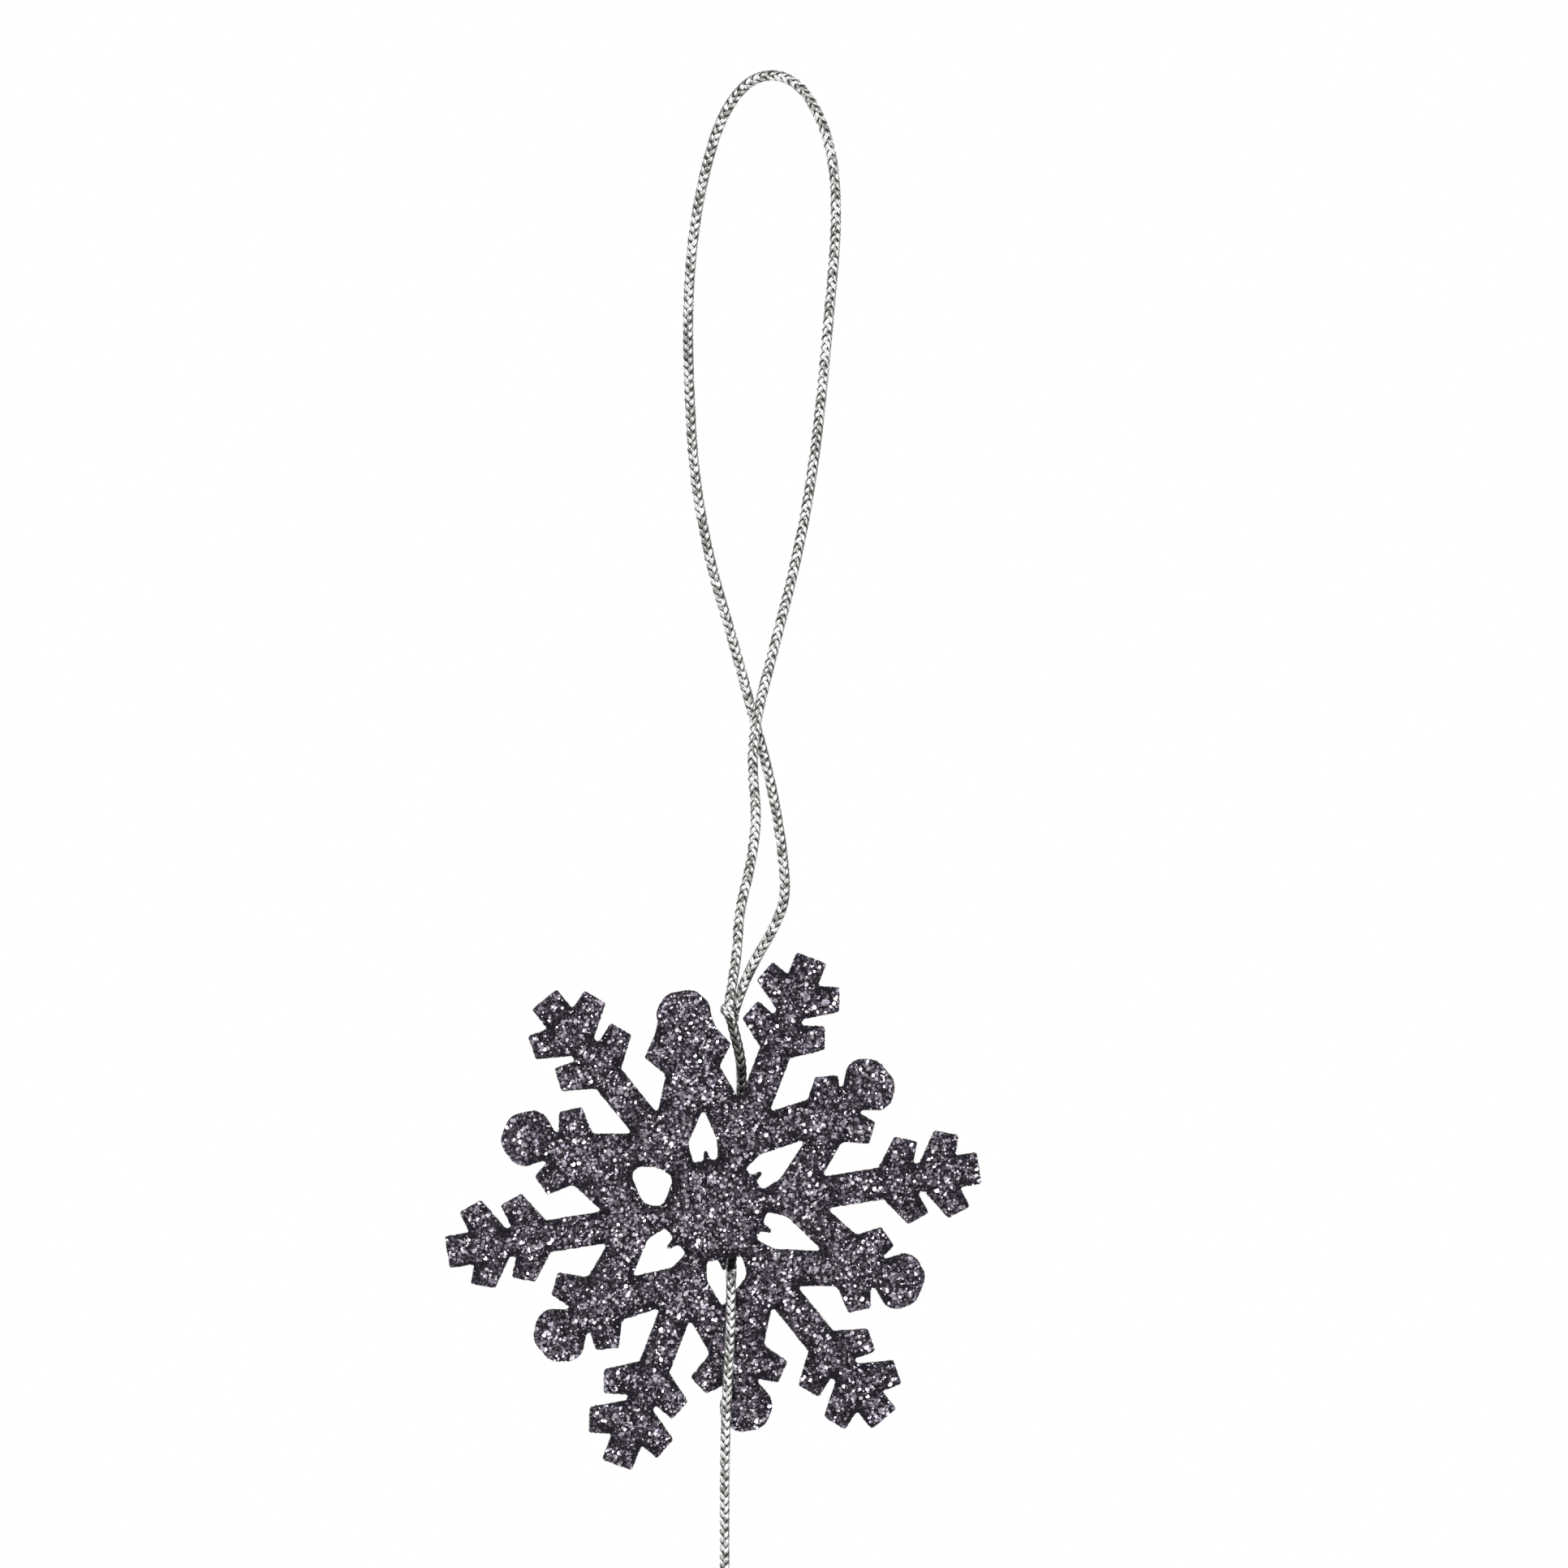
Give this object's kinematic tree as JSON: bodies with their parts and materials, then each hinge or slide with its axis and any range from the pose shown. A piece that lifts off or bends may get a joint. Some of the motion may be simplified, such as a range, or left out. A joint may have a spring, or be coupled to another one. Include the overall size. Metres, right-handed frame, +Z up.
{
  "type": "hanging glitter snowflake ornament",
  "caption": "flat die-cut snowflake covered in dark glitter, hanging from a long braided silver cord loop, with the cord's tail below it",
  "frame": {"origin": "the hanging point: the underside of the cord at the top of the loop", "axes": "+Z up, the snowflake's front faces -Y, +X to its right as seen from the front"},
  "size_m": [0.0507, 0.0062, 0.1471],
  "materials": {
    "pressed_board": "pressed board, bare tan cut edge",
    "dark_glitter": "foil flakes in clear glue, purple grey",
    "hot_glue": "set hot glue, cloudy",
    "silver_cord": "braided metallic yarn"
  },
  "bodies": {
    "loop_top": {"hanging_loop": "silver_cord"},
    "strands": {"left_strand": "silver_cord", "right_strand": "silver_cord", "loop_knot": "silver_cord", "neck_cord": "silver_cord"},
    "snowflake": {"board_core": "pressed_board", "front_glitter_coat": "dark_glitter", "back_glitter_coat": "dark_glitter", "glue_dab": "hot_glue", "back_cord": "silver_cord"},
    "tail_turn": {"tail_bend": "silver_cord"},
    "tail": {"tail_cord": "silver_cord", "end_knot": "silver_cord"}
  },
  "joints": [
    {"name": "loop_twist", "type": "hinge", "parent": "loop_top", "child": "strands", "pos_m": [-0.0018, 0, -0.0608], "axis": [0, 0, 1], "range_deg": [-170, 170]},
    {"name": "snowflake_tilt", "type": "hinge", "parent": "strands", "child": "snowflake", "pos_m": [-0.00315, 0, -0.0924], "axis": [1, 0, 0], "range_deg": [-50, 50]},
    {"name": "tail_swing", "type": "hinge", "parent": "snowflake", "child": "tail_turn", "pos_m": [-0.00405, -0.00195, -0.1133], "axis": [0, 1, 0], "range_deg": [-60, 60]},
    {"name": "tail_lift", "type": "hinge", "parent": "tail_turn", "child": "tail", "pos_m": [-0.00405, -0.00195, -0.1133], "axis": [-1, 0, 0], "range_deg": [0, 90]}
  ]
}
